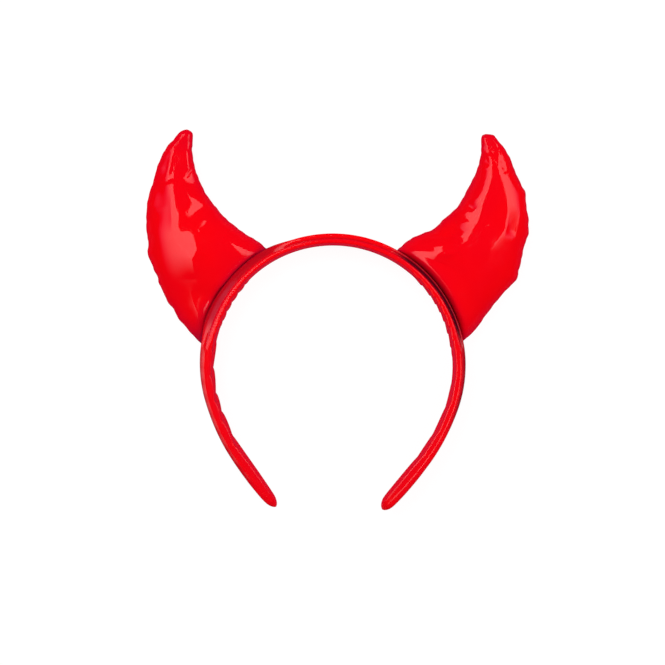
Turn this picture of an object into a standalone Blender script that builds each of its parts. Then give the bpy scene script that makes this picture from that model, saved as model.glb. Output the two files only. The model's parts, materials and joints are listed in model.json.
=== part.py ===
"""Costume headband with two stuffed horns, lying on its back on a table.

A stiff band is covered by two strips of glossy vinyl that are sewn together along their
edges, and each horn is a stuffed pocket of two vinyl panels sewn along the outline.
Metres. +Z is the side that faces forwards when worn, +Y runs from the leg ends to the crown,
and the origin is the bottom centre of the bounding box.
"""

import math
from collections import namedtuple

import bmesh
import bpy
from mathutils import Vector

MM = 0.001

# Band: its path is the middle of the thickness, three arcs from the crown to a leg's end
BAND_WIDTH = 24.0 * MM
BAND_THICKNESS = 5.2 * MM
CROWN_RADIUS = 66.7 * MM
CROWN_SWEEP = math.radians(108.6)
LEG_RADIUS = 105.0 * MM
LEG_SWEEP = math.radians(16.5)
TOE_RADIUS = 260.0 * MM
TOE_SWEEP = math.radians(7.6)

# Rolled edges of the two strips, and the gathers of the inner one
SEAM_ROLL = 0.8 * MM
OUTER_ROLL = 1.1 * MM
PUCKER_DEPTH = 1.1 * MM
PUCKER_PITCH = 10.5 * MM

# Horns: the spine is an arc from the middle of the base to the tip
HORN_BASE = 61.0 * MM
HORN_THICKNESS = 25.0 * MM
HORN_EDGE = 0.9 * MM
LEFT_BASE_ANGLE = math.radians(33.0)
LEFT_SPINE_RADIUS = 71.7 * MM
LEFT_SPINE_SWEEP = math.radians(80.2)
RIGHT_BASE_ANGLE = math.radians(36.5)
RIGHT_SPINE_RADIUS = 76.0 * MM
RIGHT_SPINE_SWEEP = math.radians(73.6)

# What lies beside another piece keeps this gap to it
PIECE_GAP = 0.3 * MM

# How full a horn's section is: 0.5 is an ellipse, and less is boxier
PUFF_POWER = 0.60

# The horn's outline closes to its blunt tip over the last stretch of the spine
TIP_START = 0.955
TIP_LEAST = 0.25

# Resolution
OUTER_STATIONS = 88
INNER_STATIONS = 116
CORNER_STEPS = 2
HORN_ROWS = 26
HORN_COLUMNS = 14
ROW_CROWDING = 1.4

VINYL_RED = (0.84, 0.004, 0.010, 1.0)
VINYL_ROUGHNESS = 0.12

# share runs from the crown to a leg's end. width and thickness are shares of the band's, outer is
# the outer strip's part of the thickness, and pucker is a share of the gathers' depth.
BandRow = namedtuple("BandRow", "share width thickness outer pucker")
LEFT_LEG_TABLE = (
    BandRow(0.00, 1.00, 1.00, 0.54, 0.15),
    BandRow(0.20, 1.00, 1.02, 0.52, 0.30),
    BandRow(0.38, 1.00, 1.16, 0.48, 0.70),
    BandRow(0.46, 1.00, 1.20, 0.46, 0.85),
    BandRow(0.58, 1.00, 1.02, 0.42, 0.85),
    BandRow(0.68, 1.00, 0.90, 0.40, 1.00),
    BandRow(0.80, 0.96, 1.00, 0.40, 0.60),
    BandRow(0.90, 0.86, 1.06, 0.42, 0.20),
    BandRow(0.96, 0.74, 1.00, 0.46, 0.05),
    BandRow(1.00, 0.56, 0.62, 0.50, 0.00),
)
RIGHT_LEG_TABLE = (
    BandRow(0.00, 1.00, 1.00, 0.54, 0.15),
    BandRow(0.20, 1.00, 1.00, 0.52, 0.25),
    BandRow(0.38, 1.00, 0.96, 0.48, 0.35),
    BandRow(0.46, 1.00, 1.04, 0.46, 0.35),
    BandRow(0.58, 1.00, 0.98, 0.42, 0.40),
    BandRow(0.68, 1.00, 0.94, 0.40, 0.35),
    BandRow(0.80, 0.96, 1.04, 0.40, 0.25),
    BandRow(0.90, 0.86, 1.12, 0.42, 0.15),
    BandRow(0.96, 0.74, 1.08, 0.46, 0.05),
    BandRow(1.00, 0.56, 0.78, 0.50, 0.00),
)

# share runs along the spine, and a negative one lies under the band's own curve. crown_side and
# leg_side are shares of half the base, thickness is a share of half the horn's thickness.
HornRow = namedtuple("HornRow", "share crown_side leg_side thickness")
LEFT_HORN_TABLE = (
    HornRow(-0.10, 1.02, 1.12, 0.56),
    HornRow(0.00, 1.02, 1.00, 0.62),
    HornRow(0.10, 1.03, 0.93, 0.80),
    HornRow(0.20, 0.98, 0.86, 0.93),
    HornRow(0.30, 0.90, 0.79, 1.00),
    HornRow(0.38, 0.83, 0.74, 1.00),
    HornRow(0.45, 0.75, 0.67, 0.98),
    HornRow(0.55, 0.63, 0.59, 0.88),
    HornRow(0.65, 0.50, 0.49, 0.76),
    HornRow(0.75, 0.37, 0.38, 0.60),
    HornRow(0.85, 0.24, 0.29, 0.46),
    HornRow(0.93, 0.15, 0.21, 0.34),
    HornRow(1.00, 0.11, 0.13, 0.26),
)
RIGHT_HORN_TABLE = (
    HornRow(-0.10, 1.00, 1.10, 0.56),
    HornRow(0.00, 1.01, 0.97, 0.62),
    HornRow(0.10, 1.02, 0.90, 0.80),
    HornRow(0.20, 0.98, 0.85, 0.93),
    HornRow(0.27, 0.90, 0.86, 0.98),
    HornRow(0.35, 0.79, 0.90, 1.00),
    HornRow(0.45, 0.70, 0.80, 0.98),
    HornRow(0.55, 0.56, 0.77, 0.88),
    HornRow(0.65, 0.45, 0.65, 0.76),
    HornRow(0.75, 0.32, 0.50, 0.60),
    HornRow(0.85, 0.18, 0.37, 0.46),
    HornRow(0.93, 0.10, 0.26, 0.34),
    HornRow(1.00, 0.06, 0.16, 0.26),
)

# A fold is a dent, or a ridge where depth is negative. share and across place its middle, across
# from -1 on the leg side to 1 on the crown side. length, breadth and depth are shares of half the
# base, and turn is its direction in degrees from the spine.
Fold = namedtuple("Fold", "share across length breadth depth turn")
LEFT_HORN_FOLDS = (
    Fold(0.36, 0.62, 0.36, 0.09, 0.040, 60.0),
    Fold(0.47, 0.60, 0.36, 0.10, 0.055, 68.0),
    Fold(0.57, 0.55, 0.32, 0.09, 0.060, 75.0),
    Fold(0.67, 0.50, 0.26, 0.07, 0.050, 82.0),
    Fold(0.76, 0.45, 0.20, 0.06, 0.040, 88.0),
    Fold(0.40, 0.02, 0.60, 0.14, 0.020, 12.0),
    Fold(0.41, -0.93, 0.14, 0.07, 0.050, 90.0),
)
RIGHT_HORN_FOLDS = (
    Fold(0.30, 0.66, 0.30, 0.24, 0.110, 25.0),
    Fold(0.42, 0.62, 0.30, 0.10, 0.050, 62.0),
    Fold(0.52, 0.58, 0.30, 0.10, 0.045, 70.0),
    Fold(0.12, 0.72, 0.50, 0.10, -0.035, 68.0),
    Fold(0.90, 0.30, 0.24, 0.06, 0.030, 10.0),
    Fold(0.45, -0.86, 0.22, 0.08, 0.045, 100.0),
)
BACK_FOLDS = (
    Fold(0.34, 0.64, 0.34, 0.10, 0.040, 62.0),
    Fold(0.50, 0.60, 0.32, 0.10, 0.050, 70.0),
    Fold(0.66, 0.52, 0.26, 0.08, 0.045, 80.0),
)

Horn = namedtuple("Horn", "name side base_angle spine_radius spine_sweep table folds")
LEFT_HORN = Horn(
    "left_horn", -1, LEFT_BASE_ANGLE, LEFT_SPINE_RADIUS, LEFT_SPINE_SWEEP, LEFT_HORN_TABLE, LEFT_HORN_FOLDS
)
RIGHT_HORN = Horn(
    "right_horn", 1, RIGHT_BASE_ANGLE, RIGHT_SPINE_RADIUS, RIGHT_SPINE_SWEEP, RIGHT_HORN_TABLE, RIGHT_HORN_FOLDS
)

# The band's arcs from crown to leg end, and what follows from them
BAND_ARCS = ((CROWN_RADIUS, CROWN_SWEEP), (LEG_RADIUS, LEG_SWEEP), (TOE_RADIUS, TOE_SWEEP))
HALF_LENGTH = sum(radius * sweep for radius, sweep in BAND_ARCS)
MIDDLE_Z = BAND_WIDTH / 2


def read(table, column, share):
    """A column of a table at any share, on a smooth curve that never swings past its rows."""
    shares = [row.share for row in table]
    values = [getattr(row, column) for row in table]
    share = min(max(share, shares[0]), shares[-1])
    k = next(i for i in range(1, len(shares)) if share <= shares[i])
    rates = [(values[i + 1] - values[i]) / (shares[i + 1] - shares[i]) for i in range(len(shares) - 1)]

    def slope(i):
        before, after = rates[max(i - 1, 0)], rates[min(i, len(rates) - 1)]
        return 2 * before * after / (before + after) if before * after > 0 else 0.0

    step = shares[k] - shares[k - 1]
    t = (share - shares[k - 1]) / step
    rise = values[k] - values[k - 1]
    start, end = slope(k - 1) * step, slope(k) * step
    return values[k - 1] + t * (start + t * (3 * rise - 2 * start - end + t * (start + end - 2 * rise)))


def band_frame(distance):
    """Point and outward normal of the band's path, at a distance from the crown, negative on the left leg.

    The crown's arc has its centre at x = y = 0.
    """
    side = -1 if distance < 0 else 1
    left_over = abs(distance)
    centre = Vector((0.0, 0.0))
    angle = 0.0
    radius_before = CROWN_RADIUS
    for radius, sweep in BAND_ARCS:
        normal = Vector((math.sin(angle), math.cos(angle)))
        centre += normal * (radius_before - radius)
        radius_before = radius
        turned = min(left_over / radius, sweep)
        angle += turned
        left_over -= turned * radius
        if left_over <= 0.0:
            break
    normal = Vector((math.sin(angle), math.cos(angle)))
    point = centre + normal * radius_before
    return Vector((point.x * side, point.y)), Vector((normal.x * side, normal.y))


def leg(column, distance):
    """A column of the left or right leg's table at a distance from the crown."""
    table = LEFT_LEG_TABLE if distance < 0 else RIGHT_LEG_TABLE
    return read(table, column, abs(distance) / HALF_LENGTH)


def gather(distance, across):
    """How far the inner strip is gathered back; across runs from -1 to 1 over the band's width."""
    turns = distance / PUCKER_PITCH
    phase = 2 * math.pi * (turns + 0.16 * math.sin(1.9 * turns) + 0.10 * across)
    leaf = 0.5 + 0.5 * math.sin(phase + 0.5 * math.sin(phase))
    return PUCKER_DEPTH * leg("pucker", distance) * leaf * (0.55 + 0.45 * abs(across))


def rolled_section(low, high, width, low_roll, high_roll):
    """A strip's section as (offset along the normal, z), counter-clockwise, with its four edges rolled."""
    limit = 0.46 * (high - low)
    low_roll, high_roll = min(low_roll, limit), min(high_roll, limit)
    half = width / 2
    points = []
    for quarter, (offset, z, roll) in enumerate((
        (high - high_roll, half - high_roll, high_roll),
        (low + low_roll, half - low_roll, low_roll),
        (low + low_roll, low_roll - half, low_roll),
        (high - high_roll, high_roll - half, high_roll),
    )):
        for step in range(CORNER_STEPS + 1):
            turn = math.pi / 2 * (quarter + step / CORNER_STEPS)
            points.append((offset + roll * math.cos(turn), z + roll * math.sin(turn)))
    return points


def swept(name, rings):
    """A closed body made by extruding the first ring's face from ring to ring."""
    mesh = bmesh.new()
    end = mesh.faces.new([mesh.verts.new(point) for point in rings[0]])
    for ring in rings[1:]:
        end = bmesh.ops.extrude_discrete_faces(mesh, faces=[end])["faces"][0]
        for corner, point in zip(end.verts, ring):
            corner.co = point
    bmesh.ops.holes_fill(mesh, edges=[edge for edge in mesh.edges if edge.is_boundary])
    return finished(name, mesh)


def finished(name, mesh):
    """The bmesh as a named object with outward faces, smooth shading and its own vinyl material."""
    bmesh.ops.recalc_face_normals(mesh, faces=mesh.faces)
    data = bpy.data.meshes.new(name)
    mesh.to_mesh(data)
    mesh.free()
    data.shade_smooth()
    data.set_sharp_from_angle(angle=math.radians(40.0))
    piece = bpy.data.objects.new(name, data)
    bpy.context.scene.collection.objects.link(piece)
    material = bpy.data.materials.new(name + "_vinyl")
    material.use_nodes = True
    shader = material.node_tree.nodes["Principled BSDF"]
    shader.inputs["Base Color"].default_value = VINYL_RED
    shader.inputs["Roughness"].default_value = VINYL_ROUGHNESS
    shader.inputs["Metallic"].default_value = 0.0
    data.materials.append(material)
    return piece


def stations(count):
    """Distances from the left leg's end to the right one, even along the band."""
    return [HALF_LENGTH * (2 * i / (count - 1) - 1) for i in range(count)]


def seam_offsets(distance):
    """Offsets of the inner face, the seam and the outer face from the band's path."""
    thickness = BAND_THICKNESS * leg("thickness", distance)
    return -thickness / 2, thickness / 2 - thickness * leg("outer", distance), thickness / 2


def outer_cover():
    """The strip of vinyl on the outside of the band, from the seam groove outwards."""
    rings = []
    for distance in stations(OUTER_STATIONS):
        point, normal = band_frame(distance)
        _, seam, high = seam_offsets(distance)
        section = rolled_section(
            seam + PIECE_GAP / 2, high, BAND_WIDTH * leg("width", distance), SEAM_ROLL, OUTER_ROLL
        )
        places = [(point + normal * offset, z) for offset, z in section]
        rings.append([(place.x, place.y, MIDDLE_Z + z) for place, z in places])
    return swept("band_outer_cover", rings)


def inner_cover():
    """The strip on the inside of the band, gathered into puckers because the inside is shorter."""
    rings = []
    for distance in stations(INNER_STATIONS):
        point, normal = band_frame(distance)
        low, seam, _ = seam_offsets(distance)
        width = BAND_WIDTH * leg("width", distance)
        ring = []
        for offset, z in rolled_section(low, seam - PIECE_GAP / 2, width, SEAM_ROLL, SEAM_ROLL):
            if offset < (low + seam) / 2:
                offset += gather(distance, 2 * z / width)
            place = point + normal * offset
            ring.append((place.x, place.y, MIDDLE_Z + z))
        rings.append(ring)
    return swept("band_inner_cover", rings)


def band_seat(angle, side):
    """Radius of the band's outer face at an angle from the crown, within the crown's arc."""
    return CROWN_RADIUS + seam_offsets(side * CROWN_RADIUS * angle)[2]


def horn_spine(horn, share):
    """Point and heading on a horn's spine, as if it were the right-hand one; the left is mirrored later."""
    seat = band_seat(math.pi / 2 - horn.base_angle, horn.side)
    along = Vector((math.cos(horn.base_angle), math.sin(horn.base_angle)))
    start = along * math.sqrt(seat ** 2 - (HORN_BASE / 2) ** 2)
    heading = horn.base_angle + share * horn.spine_sweep
    inwards = Vector((-along.y, along.x))
    outwards = Vector((math.sin(heading), -math.cos(heading)))
    return start + (inwards + outwards) * horn.spine_radius, heading


def tip_round(share):
    """1 along the spine, falling on a quarter circle to the blunt tip."""
    t = min(max((share - TIP_START) / (1.0 - TIP_START), 0.0), 1.0)
    return max(TIP_LEAST, math.sqrt(1.0 - t * t))


def horn_point(horn, share, across):
    """Place on the horn's flat pattern: across is -1 on the leg side and 1 on the crown side."""
    spine, heading = horn_spine(horn, share)
    column = "crown_side" if across > 0 else "leg_side"
    reach = HORN_BASE / 2 * read(horn.table, column, share) * tip_round(share)
    return spine + Vector((-math.sin(heading), math.cos(heading))) * (reach * across)


def base_share(horn, across):
    """Share of the spine at which the pattern clears the band's outer face by the gap."""
    low, high = horn.table[0].share, 0.4
    for _ in range(30):
        share = (low + high) / 2
        place = horn_point(horn, share, across)
        seat = band_seat(math.atan2(place.x, place.y), horn.side) + PIECE_GAP
        if place.length < seat:
            low = share
        else:
            high = share
    return high


def fold_depth(horn, folds, place, across):
    """Depth of the folds at a place on the pattern, nothing at the seam."""
    total = 0.0
    for fold in folds:
        heading = horn_spine(horn, fold.share)[1] + math.radians(fold.turn)
        along = Vector((math.cos(heading), math.sin(heading)))
        offset = (place - horn_point(horn, fold.share, fold.across)) / (HORN_BASE / 2)
        u = offset.dot(along) / fold.length
        v = offset.cross(along) / fold.breadth
        total += fold.depth * math.exp(-u * u - v * v)
    return HORN_BASE / 2 * total * (1.0 - across ** 4)


def horn_height(horn, folds, share, across, place):
    """How high the stuffed skin stands over the seam plane."""
    puff = max(0.0, 1.0 - across * across) ** PUFF_POWER * tip_round(share)
    full = HORN_THICKNESS / 2 - HORN_EDGE
    height = full * read(horn.table, "thickness", share) * puff
    return HORN_EDGE + height - min(fold_depth(horn, folds, place, across), 0.6 * height)


def horn_panel(horn, face):
    """One stuffed half of a horn, from the seam plane to its skin; face is 1 in front and -1 behind."""
    folds = horn.folds if face > 0 else BACK_FOLDS
    mesh = bmesh.new()
    bmesh.ops.create_grid(mesh, x_segments=HORN_COLUMNS, y_segments=HORN_ROWS, size=1.0)
    pattern = list(mesh.faces)
    raised = bmesh.ops.extrude_face_region(mesh, geom=pattern, use_keep_orig=True)["geom"]
    skin = {part for part in raised if isinstance(part, bmesh.types.BMVert)}
    starts = {}
    for vertex in mesh.verts:
        across = math.sin(math.pi / 2 * vertex.co.x)
        if across not in starts:
            starts[across] = base_share(horn, across)
        to_tip = 1.0 - ((1.0 - vertex.co.y) / 2) ** ROW_CROWDING
        share = starts[across] + (1.0 - starts[across]) * to_tip
        place = horn_point(horn, share, across)
        rise = PIECE_GAP / 2
        if vertex in skin:
            rise += horn_height(horn, folds, share, across, place)
        # The back panel is pressed flat where it lies on the table
        vertex.co = (place.x * horn.side, place.y, max(MIDDLE_Z + face * rise, 0.0))
    bmesh.ops.dissolve_faces(mesh, faces=pattern, use_verts=True)
    return finished(horn.name + ("_front" if face > 0 else "_back"), mesh)


def rest_on_origin(pieces):
    """Parents the pieces to one empty and moves it so that the origin is their bottom centre."""
    corners = [vertex.co for piece in pieces for vertex in piece.data.vertices]
    low = [min(corner[axis] for corner in corners) for axis in range(3)]
    high = [max(corner[axis] for corner in corners) for axis in range(3)]
    whole = bpy.data.objects.new("headband", None)
    bpy.context.scene.collection.objects.link(whole)
    whole.location = (-(low[0] + high[0]) / 2, -(low[1] + high[1]) / 2, -low[2])
    for piece in pieces:
        piece.parent = whole


def main():
    for old in list(bpy.data.objects):
        bpy.data.objects.remove(old)
    pieces = [outer_cover(), inner_cover()]
    for horn in (LEFT_HORN, RIGHT_HORN):
        pieces += [horn_panel(horn, 1), horn_panel(horn, -1)]
    rest_on_origin(pieces)


main()
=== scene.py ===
# %% [markdown]
# # Devil horns headband
# A costume headband of glossy red vinyl lies on its back under studio light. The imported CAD
# model is loaded first. It stays where it is, and every soft piece below is made over it.

# %% Load the frame
import json
import math
import bpy
import numpy as np
from collections import namedtuple
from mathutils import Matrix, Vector

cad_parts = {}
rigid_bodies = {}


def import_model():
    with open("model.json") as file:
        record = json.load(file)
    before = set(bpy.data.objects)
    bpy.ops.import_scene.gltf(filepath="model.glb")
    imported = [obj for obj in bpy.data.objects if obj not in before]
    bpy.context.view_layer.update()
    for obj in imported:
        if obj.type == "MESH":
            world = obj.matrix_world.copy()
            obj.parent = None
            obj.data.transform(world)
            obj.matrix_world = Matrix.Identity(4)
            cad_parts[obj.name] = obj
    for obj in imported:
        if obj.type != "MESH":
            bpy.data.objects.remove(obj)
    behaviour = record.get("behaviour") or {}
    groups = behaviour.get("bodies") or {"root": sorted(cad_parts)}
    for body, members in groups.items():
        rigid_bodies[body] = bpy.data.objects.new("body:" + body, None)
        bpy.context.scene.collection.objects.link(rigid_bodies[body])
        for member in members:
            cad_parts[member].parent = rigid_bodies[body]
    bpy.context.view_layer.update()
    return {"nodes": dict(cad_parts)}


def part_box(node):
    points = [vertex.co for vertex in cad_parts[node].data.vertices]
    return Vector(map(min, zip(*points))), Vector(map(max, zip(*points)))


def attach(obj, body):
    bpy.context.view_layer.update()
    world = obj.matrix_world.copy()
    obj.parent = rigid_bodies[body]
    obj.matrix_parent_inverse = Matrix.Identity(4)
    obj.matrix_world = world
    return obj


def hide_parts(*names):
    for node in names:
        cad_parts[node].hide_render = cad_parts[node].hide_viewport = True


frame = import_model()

MM = 0.001

# %% [markdown]
# ## Two habits that keep the steps short
# An operator in edit mode acts on all that is selected, so everything is deselected before a
# new primitive is added. And a mesh's points are read and written as one numpy table, because
# soft forms are shaped by moving many points by the same rule.

# %% Small helpers
def deselect():
    for thing in bpy.context.view_layer.objects:
        thing.select_set(False)


def activate(piece):
    deselect()
    piece.select_set(True)
    bpy.context.view_layer.objects.active = piece


def points(piece):
    table = np.empty(len(piece.data.vertices) * 3)
    piece.data.vertices.foreach_get("co", table)
    return table.reshape(-1, 3)


def move_points(piece, table):
    piece.data.vertices.foreach_set("co", np.ascontiguousarray(table).ravel())
    piece.data.update()


def apply_modifier(piece, kind, **settings):
    modifier = piece.modifiers.new(kind.title(), kind)
    for name, value in settings.items():
        setattr(modifier, name, value)
    activate(piece)
    bpy.ops.object.modifier_apply(modifier=modifier.name)


def refine(piece, levels):
    apply_modifier(piece, "SUBSURF", levels=levels, render_levels=levels)


def smoothstep(value):
    value = np.clip(value, 0.0, 1.0)
    return value * value * (3.0 - 2.0 * value)


def bell(offset, breadth):
    """1 at no offset, falling off softly over a breadth."""
    return np.exp(-((offset / breadth) ** 2))


def report(piece):
    span = np.ptp(points(piece), axis=0) / MM
    print(piece.name, "faces:", len(piece.data.polygons), "size in mm:", span.round(1))


# %% [markdown]
# ## Where the camera stands
# The photo looks straight down on the headband, which lies a little turned on the page. The
# camera is set first, because creases are placed where the photo shows them, and the function
# at_pixel turns a photo pixel into a place on the table.

# %% Camera
PHOTO_WIDTH = 665
MM_PER_PIXEL = 0.529
CAMERA_HEIGHT = 850.0 * MM
CAMERA_ROLL = math.radians(1.5)
BAND_PIXEL = (334.0, 322.0)
SENSOR = 36.0

band_low, band_high = (Vector(corner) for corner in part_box("band_outer_cover"))
MIDDLE_Z = (band_low.z + band_high.z) / 2
BAND_X = (band_low.x + band_high.x) / 2
BAND_TOP_ABOVE_PIXEL = 46.2 * MM
PIXEL_ROW_Y = band_high.y - BAND_TOP_ABOVE_PIXEL


def on_middle_plane(column, row):
    """Place on the middle plane that the photo shows at a pixel."""
    right = (column - BAND_PIXEL[0]) * MM_PER_PIXEL * MM
    up = -(row - BAND_PIXEL[1]) * MM_PER_PIXEL * MM
    turn, lean = math.cos(CAMERA_ROLL), math.sin(CAMERA_ROLL)
    return Vector((BAND_X + right * turn - up * lean, PIXEL_ROW_Y + right * lean + up * turn))


photo_middle = on_middle_plane(PHOTO_WIDTH / 2, PHOTO_WIDTH / 2)


def at_pixel(column, row, above=9.0 * MM):
    """Place that the photo shows at a pixel, on a plane above the middle one."""
    nearer = 1.0 - above / CAMERA_HEIGHT
    return photo_middle + (on_middle_plane(column, row) - photo_middle) * nearer


camera_data = bpy.data.cameras.new("camera")
camera_data.sensor_width = SENSOR
camera_data.lens = SENSOR * CAMERA_HEIGHT / (PHOTO_WIDTH * MM_PER_PIXEL * MM)
camera = bpy.data.objects.new("camera", camera_data)
camera.location = (photo_middle.x, photo_middle.y, MIDDLE_Z + CAMERA_HEIGHT)
camera.rotation_euler = (0.0, 0.0, CAMERA_ROLL)
bpy.context.scene.collection.objects.link(camera)
bpy.context.scene.camera = camera
print("lens in mm:", round(camera_data.lens, 1))

# %% [markdown]
# ## Table and light
# The table is plain white, and a pale sky and two soft lights fill the shapes from all round.
# Gloss is a matter of what it mirrors: two bright panels that only reflections see, one
# nearly overhead at the left and one low at the right, draw the sharp-edged shines.

# %% Table and soft lights
TABLE_SIZE, TABLE_SINK = 6.0, 0.2 * MM
TABLE_GRAY = (0.10, 0.10, 0.10, 1.0)
TABLE_GLOW = 0.93
RED_TO_GLOSS = (0.50, 0.014, 0.050, 1.0)

deselect()
bpy.ops.mesh.primitive_plane_add(size=TABLE_SIZE, location=(0, 0, -TABLE_SINK))
table = bpy.context.object
table.name = "table_top"
table_finish = bpy.data.materials.new("table_white")
table_finish.use_nodes = True
table_tree = table_finish.node_tree
table_shader = table_tree.nodes["Principled BSDF"]
table_shader.inputs["Base Color"].default_value = TABLE_GRAY
table_shader.inputs["Roughness"].default_value = 0.9
table_shader.inputs["Emission Color"].default_value = (1.0, 1.0, 1.0, 1.0)
table_shader.inputs["Emission Strength"].default_value = TABLE_GLOW
mirrored = table_tree.nodes.new("ShaderNodeEmission")
mirrored.inputs["Color"].default_value = RED_TO_GLOSS
table_ray = table_tree.nodes.new("ShaderNodeLightPath")
table_mix = table_tree.nodes.new("ShaderNodeMixShader")
table_tree.links.new(table_ray.outputs["Is Glossy Ray"], table_mix.inputs["Fac"])
table_tree.links.new(table_shader.outputs["BSDF"], table_mix.inputs[1])
table_tree.links.new(mirrored.outputs["Emission"], table_mix.inputs[2])
table_output = table_tree.nodes["Material Output"]
table_tree.links.new(table_mix.outputs["Shader"], table_output.inputs["Surface"])
table.data.materials.append(table_finish)

SoftLight = namedtuple("SoftLight", "name place size power")
for lamp in (
    SoftLight("key_light", (-0.30, 0.30, 0.80), 0.50, 4.5),
    SoftLight("side_light", (0.55, 0.05, 0.60), 0.50, 2.2),
):
    light_data = bpy.data.lights.new(lamp.name, "AREA")
    light_data.size = lamp.size
    light_data.energy = lamp.power
    light = bpy.data.objects.new(lamp.name, light_data)
    light.location = lamp.place
    light.rotation_euler = Vector(lamp.place).to_track_quat("Z", "Y").to_euler()
    light.visible_glossy = False
    light.visible_camera = False
    bpy.context.scene.collection.objects.link(light)

# %% [markdown]
# ## A sky that gloss doesn't see
# A white sky mirrored in gloss would wash the red out to pink everywhere. So the sky is pale to
# the eye and to matt surfaces, and nearly black to a glossy ray.

# %% Sky
SKY_STRENGTH = 0.42
SKY_TO_GLOSS = (0.0, 0.0, 0.01, 1.0)

world = bpy.data.worlds.new("studio")
bpy.context.scene.world = world
world.use_nodes = True
sky = world.node_tree
ray = sky.nodes.new("ShaderNodeLightPath")
pale = sky.nodes["Background"]
pale.inputs["Color"].default_value = (1.0, 1.0, 1.0, 1.0)
pale.inputs["Strength"].default_value = SKY_STRENGTH
dark = sky.nodes.new("ShaderNodeBackground")
dark.inputs["Color"].default_value = SKY_TO_GLOSS
choice = sky.nodes.new("ShaderNodeMixShader")
sky.links.new(ray.outputs["Is Glossy Ray"], choice.inputs["Fac"])
sky.links.new(pale.outputs["Background"], choice.inputs[1])
sky.links.new(dark.outputs["Background"], choice.inputs[2])
sky.links.new(choice.outputs["Shader"], sky.nodes["World Output"].inputs["Surface"])
bpy.context.scene.view_settings.view_transform = "Standard"

# %% [markdown]
# ## Two panels for the shine
# A studio softbox shows in gloss as a patch with one crisp side, and with a side that fades
# where its light falls off. Each panel here is sharp at its near edge and fades outwards.

# %% Panels for the shine
GlossPanel = namedtuple("GlossPanel", "name near far front back fade strength")
PANEL_HEIGHT = 0.70
GLOSS_PANELS = (
    GlossPanel("panel_left", -0.16, -1.50, -0.50, 0.76, 0.48, 1.75),
    GlossPanel("panel_right", 0.34, 1.40, -0.02, 0.64, 0.38, 1.75),
)
# Share of the way from the far edge to the near one, and the colour there
PANEL_GLOW = (
    (0.00, (0.00, 0.00, 0.04, 1.0)),
    (0.25, (0.08, 0.08, 0.24, 1.0)),
    (0.50, (0.42, 0.38, 0.58, 1.0)),
    (0.72, (0.85, 0.82, 0.88, 1.0)),
    (1.00, (1.00, 1.00, 1.00, 1.0)),
)


def gloss_panel(panel):
    """A bright sheet that only reflections see, sharp at its near edge and fading outwards."""
    deselect()
    middle = ((panel.near + panel.far) / 2, (panel.front + panel.back) / 2, PANEL_HEIGHT)
    bpy.ops.mesh.primitive_plane_add(size=1.0, location=middle)
    sheet = bpy.context.object
    sheet.name = panel.name
    sheet.scale = (panel.near - panel.far, panel.back - panel.front, 1.0)
    glow = bpy.data.materials.new(panel.name + "_glow")
    glow.use_nodes = True
    tree = glow.node_tree
    tree.nodes.clear()
    output = tree.nodes.new("ShaderNodeOutputMaterial")
    lamp = tree.nodes.new("ShaderNodeEmission")
    outwards = tree.nodes.new("ShaderNodeValToRGB")
    forwards = tree.nodes.new("ShaderNodeMapRange")
    strength = tree.nodes.new("ShaderNodeMath")
    split = tree.nodes.new("ShaderNodeSeparateXYZ")
    place = tree.nodes.new("ShaderNodeTexCoord")
    tree.links.new(place.outputs["UV"], split.inputs["Vector"])
    tree.links.new(split.outputs["X"], outwards.inputs["Fac"])
    tree.links.new(split.outputs["Y"], forwards.inputs["Value"])
    forwards.interpolation_type = "SMOOTHSTEP"
    forwards.inputs["From Max"].default_value = panel.fade
    strength.operation = "MULTIPLY"
    strength.inputs[1].default_value = panel.strength
    tree.links.new(forwards.outputs[0], strength.inputs[0])
    tree.links.new(strength.outputs[0], lamp.inputs["Strength"])
    tree.links.new(outwards.outputs["Color"], lamp.inputs["Color"])
    tree.links.new(lamp.outputs["Emission"], output.inputs["Surface"])
    stops = outwards.color_ramp.elements
    for share, color in PANEL_GLOW[1:-1]:
        stops.new(share)
    for stop, (share, color) in zip(stops, PANEL_GLOW):
        stop.position = share
        stop.color = color
    sheet.data.materials.append(glow)
    sheet.visible_camera = False
    sheet.visible_diffuse = False
    sheet.visible_shadow = False


for panel in GLOSS_PANELS:
    gloss_panel(panel)

# %% [markdown]
# ## Shader maths as Python
# A node tree is easier to read as arithmetic. Channel wraps one socket, and + and * on it add
# the Math nodes. Colours are blended by a Mix node, because a Math node turns them grey.

# %% Shader helpers
class Channel:
    """A number that varies over a surface."""

    def __init__(self, finish, socket):
        self.finish = finish
        self.socket = socket

    def maths(self, operation, first, second):
        node = self.finish.node("ShaderNodeMath", {"operation": operation}, {0: first, 1: second})
        return Channel(self.finish, node.outputs[0])

    def __add__(self, other):
        return self.maths("ADD", self, other)

    def __radd__(self, other):
        return self.maths("ADD", other, self)

    def __mul__(self, other):
        return self.maths("MULTIPLY", self, other)


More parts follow.
